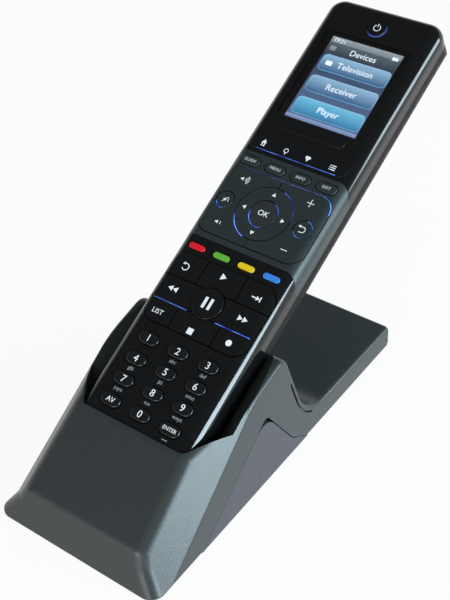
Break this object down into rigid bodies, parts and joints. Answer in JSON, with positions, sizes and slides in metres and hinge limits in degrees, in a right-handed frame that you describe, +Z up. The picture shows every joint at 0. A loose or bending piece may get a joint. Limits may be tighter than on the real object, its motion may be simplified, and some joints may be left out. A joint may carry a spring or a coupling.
{
  "type": "universal remote control with charging cradle",
  "caption": "Slim handheld universal remote with a colour display and a full keypad, leaning in a low wedge-shaped charging cradle.",
  "frame": {"origin": "middle of the footprint's bounding box, on the table that the cradle stands on", "axes": "+Z up, +Y from the cradle's front edge to its rear, +X to the user's right"},
  "size_m": [0.0806, 0.238, 0.1306],
  "materials": {
    "backlight": "blue light guide",
    "battery_wrap": "battery wrap",
    "board": "circuit board",
    "contact_metal": "plated contact",
    "cradle_dark": "dark grey cradle cover",
    "cradle_side": "grey base",
    "display": "display",
    "foot_rubber": "black rubber",
    "gloss_black": "glossy black",
    "inlet_steel": "inlet shell",
    "ir_plastic": "dark red infrared plastic",
    "key_black": "glossy black key",
    "key_blue": "blue key",
    "key_green": "green key",
    "key_grey": "satin grey key",
    "key_red": "red key",
    "key_yellow": "yellow key",
    "legend_ink": "printed white ink",
    "matte_black": "matte black",
    "satin_grey": "satin dark grey",
    "screw_steel": "plated steel",
    "silicone": "silicone mat",
    "window": "clear front window"
  },
  "bodies": {
    "cradle": {"cradle_cover": "cradle_dark", "cradle_base": "cradle_side", "cradle_feet": "foot_rubber", "cradle_screws": "screw_steel", "cradle_board": "board", "power_inlet": "inlet_steel"},
    "remote": {"upper_front_cover": "gloss_black", "middle_front_cover": "satin_grey", "lower_front_cover": "gloss_black", "rear_shell": "matte_black", "screen_window": "window", "lcd_module": "display", "touch_strip": "gloss_black", "slider_strip": "gloss_black", "keypad_mat": "silicone", "circuit_board": "board", "battery_pack": "battery_wrap", "infrared_window": "ir_plastic", "infrared_emitters": "ir_plastic", "charge_pads": "contact_metal", "case_screws": "screw_steel"},
    "key_1": {"key_1": "key_black"},
    "key_2": {"key_2": "key_black"},
    "key_3": {"key_3": "key_black"},
    "key_4": {"key_4": "key_black"},
    "key_5": {"key_5": "key_black"},
    "key_6": {"key_6": "key_black"},
    "key_7": {"key_7": "key_black"},
    "key_8": {"key_8": "key_black"},
    "key_9": {"key_9": "key_black"},
    "key_av": {"key_av": "key_black"},
    "key_0": {"key_0": "key_black"},
    "key_enter": {"key_enter": "key_black"},
    "key_list": {"key_list": "key_black"},
    "key_stop": {"key_stop": "key_black"},
    "key_record": {"key_record": "key_black"},
    "key_rewind": {"key_rewind": "key_black"},
    "key_forward": {"key_forward": "key_black"},
    "key_replay": {"key_replay": "key_black"},
    "key_play": {"key_play": "key_black"},
    "key_skip": {"key_skip": "key_black"},
    "key_pause": {"key_pause": "key_black"},
    "key_red": {"key_red": "key_red"},
    "key_green": {"key_green": "key_green"},
    "key_yellow": {"key_yellow": "key_yellow"},
    "key_blue": {"key_blue": "key_blue"},
    "key_guide": {"key_guide": "key_grey"},
    "key_menu": {"key_menu": "key_grey"},
    "key_info": {"key_info": "key_grey"},
    "key_exit": {"key_exit": "key_grey"},
    "key_mute": {"key_mute": "key_grey"},
    "key_last": {"key_last": "key_grey"},
    "key_power": {"key_power": "key_black"},
    "volume_rocker": {"volume_rocker": "key_grey"},
    "channel_rocker": {"channel_rocker": "key_grey"},
    "dpad_carrier": {"dpad_carrier": "matte_black"},
    "dpad_ring": {"dpad_ring": "key_grey"},
    "key_ok": {"key_ok": "key_grey"},
    "battery_door": {"battery_door": "matte_black"},
    "contact_pins": {"contact_pins": "contact_metal"}
  },
  "joints": [
    {"name": "remote_lift_out", "type": "slide", "parent": "cradle", "child": "remote", "axis": [0, 0.8927, 0.4506], "range_m": [0, 0.12]},
    {"name": "key_1_press", "type": "slide", "parent": "remote", "child": "key_1", "axis": [0, -0.4506, 0.8927], "range_m": [-0.0008, 0], "stiffness_N_per_m": 1600},
    {"name": "key_2_press", "type": "slide", "parent": "remote", "child": "key_2", "axis": [0, -0.4506, 0.8927], "range_m": [-0.0008, 0], "stiffness_N_per_m": 1600},
    {"name": "key_3_press", "type": "slide", "parent": "remote", "child": "key_3", "axis": [0, -0.4506, 0.8927], "range_m": [-0.0008, 0], "stiffness_N_per_m": 1600},
    {"name": "key_4_press", "type": "slide", "parent": "remote", "child": "key_4", "axis": [0, -0.4506, 0.8927], "range_m": [-0.0008, 0], "stiffness_N_per_m": 1600},
    {"name": "key_5_press", "type": "slide", "parent": "remote", "child": "key_5", "axis": [0, -0.4506, 0.8927], "range_m": [-0.0008, 0], "stiffness_N_per_m": 1600},
    {"name": "key_6_press", "type": "slide", "parent": "remote", "child": "key_6", "axis": [0, -0.4506, 0.8927], "range_m": [-0.0008, 0], "stiffness_N_per_m": 1600},
    {"name": "key_7_press", "type": "slide", "parent": "remote", "child": "key_7", "axis": [0, -0.4506, 0.8927], "range_m": [-0.0008, 0], "stiffness_N_per_m": 1600},
    {"name": "key_8_press", "type": "slide", "parent": "remote", "child": "key_8", "axis": [0, -0.4506, 0.8927], "range_m": [-0.0008, 0], "stiffness_N_per_m": 1600},
    {"name": "key_9_press", "type": "slide", "parent": "remote", "child": "key_9", "axis": [0, -0.4506, 0.8927], "range_m": [-0.0008, 0], "stiffness_N_per_m": 1600},
    {"name": "key_av_press", "type": "slide", "parent": "remote", "child": "key_av", "axis": [0, -0.4506, 0.8927], "range_m": [-0.0008, 0], "stiffness_N_per_m": 1600},
    {"name": "key_0_press", "type": "slide", "parent": "remote", "child": "key_0", "axis": [0, -0.4506, 0.8927], "range_m": [-0.0008, 0], "stiffness_N_per_m": 1600},
    {"name": "key_enter_press", "type": "slide", "parent": "remote", "child": "key_enter", "axis": [0, -0.4506, 0.8927], "range_m": [-0.0008, 0], "stiffness_N_per_m": 1600},
    {"name": "key_list_press", "type": "slide", "parent": "remote", "child": "key_list", "axis": [0, -0.4506, 0.8927], "range_m": [-0.0008, 0], "stiffness_N_per_m": 1600},
    {"name": "key_stop_press", "type": "slide", "parent": "remote", "child": "key_stop", "axis": [0, -0.4506, 0.8927], "range_m": [-0.0008, 0], "stiffness_N_per_m": 1600},
    {"name": "key_record_press", "type": "slide", "parent": "remote", "child": "key_record", "axis": [0, -0.4506, 0.8927], "range_m": [-0.0008, 0], "stiffness_N_per_m": 1600},
    {"name": "key_rewind_press", "type": "slide", "parent": "remote", "child": "key_rewind", "axis": [0, -0.4506, 0.8927], "range_m": [-0.0008, 0], "stiffness_N_per_m": 1600},
    {"name": "key_forward_press", "type": "slide", "parent": "remote", "child": "key_forward", "axis": [0, -0.4506, 0.8927], "range_m": [-0.0008, 0], "stiffness_N_per_m": 1600},
    {"name": "key_replay_press", "type": "slide", "parent": "remote", "child": "key_replay", "axis": [0, -0.4506, 0.8927], "range_m": [-0.0008, 0], "stiffness_N_per_m": 1600},
    {"name": "key_play_press", "type": "slide", "parent": "remote", "child": "key_play", "axis": [0, -0.4506, 0.8927], "range_m": [-0.0008, 0], "stiffness_N_per_m": 1600},
    {"name": "key_skip_press", "type": "slide", "parent": "remote", "child": "key_skip", "axis": [0, -0.4506, 0.8927], "range_m": [-0.0008, 0], "stiffness_N_per_m": 1600},
    {"name": "key_pause_press", "type": "slide", "parent": "remote", "child": "key_pause", "axis": [0, -0.4506, 0.8927], "range_m": [-0.0008, 0], "stiffness_N_per_m": 1600},
    {"name": "key_red_press", "type": "slide", "parent": "remote", "child": "key_red", "axis": [0, -0.4506, 0.8927], "range_m": [-0.0008, 0], "stiffness_N_per_m": 1600},
    {"name": "key_green_press", "type": "slide", "parent": "remote", "child": "key_green", "axis": [0, -0.4506, 0.8927], "range_m": [-0.0008, 0], "stiffness_N_per_m": 1600},
    {"name": "key_yellow_press", "type": "slide", "parent": "remote", "child": "key_yellow", "axis": [0, -0.4506, 0.8927], "range_m": [-0.0008, 0], "stiffness_N_per_m": 1600},
    {"name": "key_blue_press", "type": "slide", "parent": "remote", "child": "key_blue", "axis": [0, -0.4506, 0.8927], "range_m": [-0.0008, 0], "stiffness_N_per_m": 1600},
    {"name": "key_guide_press", "type": "slide", "parent": "remote", "child": "key_guide", "axis": [0, -0.4506, 0.8927], "range_m": [-0.0008, 0], "stiffness_N_per_m": 1600},
    {"name": "key_menu_press", "type": "slide", "parent": "remote", "child": "key_menu", "axis": [0, -0.4506, 0.8927], "range_m": [-0.0008, 0], "stiffness_N_per_m": 1600},
    {"name": "key_info_press", "type": "slide", "parent": "remote", "child": "key_info", "axis": [0, -0.4506, 0.8927], "range_m": [-0.0008, 0], "stiffness_N_per_m": 1600},
    {"name": "key_exit_press", "type": "slide", "parent": "remote", "child": "key_exit", "axis": [0, -0.4506, 0.8927], "range_m": [-0.0008, 0], "stiffness_N_per_m": 1600},
    {"name": "key_mute_press", "type": "slide", "parent": "remote", "child": "key_mute", "axis": [0, -0.4506, 0.8927], "range_m": [-0.0008, 0], "stiffness_N_per_m": 1600},
    {"name": "key_last_press", "type": "slide", "parent": "remote", "child": "key_last", "axis": [0, -0.4506, 0.8927], "range_m": [-0.0008, 0], "stiffness_N_per_m": 1600},
    {"name": "key_power_press", "type": "slide", "parent": "remote", "child": "key_power", "axis": [0, -0.4506, 0.8927], "range_m": [-0.0008, 0], "stiffness_N_per_m": 1600},
    {"name": "volume_rocker_tilt", "type": "hinge", "parent": "remote", "child": "volume_rocker", "pos_m": [0, 0.01493, 0.08024], "axis": [1, 0, 0], "range_deg": [-1.5, 1.5], "stiffness_Nm_per_rad": 0.6},
    {"name": "channel_rocker_tilt", "type": "hinge", "parent": "remote", "child": "channel_rocker", "pos_m": [0, 0.01493, 0.08024], "axis": [1, 0, 0], "range_deg": [-1.5, 1.5], "stiffness_Nm_per_rad": 0.6},
    {"name": "dpad_left_right", "type": "hinge", "parent": "remote", "child": "dpad_carrier", "pos_m": [0, 0.0156, 0.0789], "axis": [0, 0.8927, 0.4506], "range_deg": [-1.5, 1.5], "stiffness_Nm_per_rad": 0.4},
    {"name": "dpad_up_down", "type": "hinge", "parent": "dpad_carrier", "child": "dpad_ring", "pos_m": [0, 0.01497, 0.08015], "axis": [1, 0, 0], "range_deg": [-1.5, 1.5], "stiffness_Nm_per_rad": 0.4},
    {"name": "key_ok_press", "type": "slide", "parent": "remote", "child": "key_ok", "axis": [0, -0.4506, 0.8927], "range_m": [-0.0008, 0], "stiffness_N_per_m": 1600},
    {"name": "battery_door_hinge", "type": "hinge", "parent": "remote", "child": "battery_door", "pos_m": [0, 0.05326, 0.0792], "axis": [1, 0, 0], "range_deg": [0, 60]},
    {"name": "contact_pins_press", "type": "slide", "parent": "cradle", "child": "contact_pins", "axis": [0, -0.4506, 0.8927], "range_m": [-0.0012, 0], "stiffness_N_per_m": 400}
  ]
}
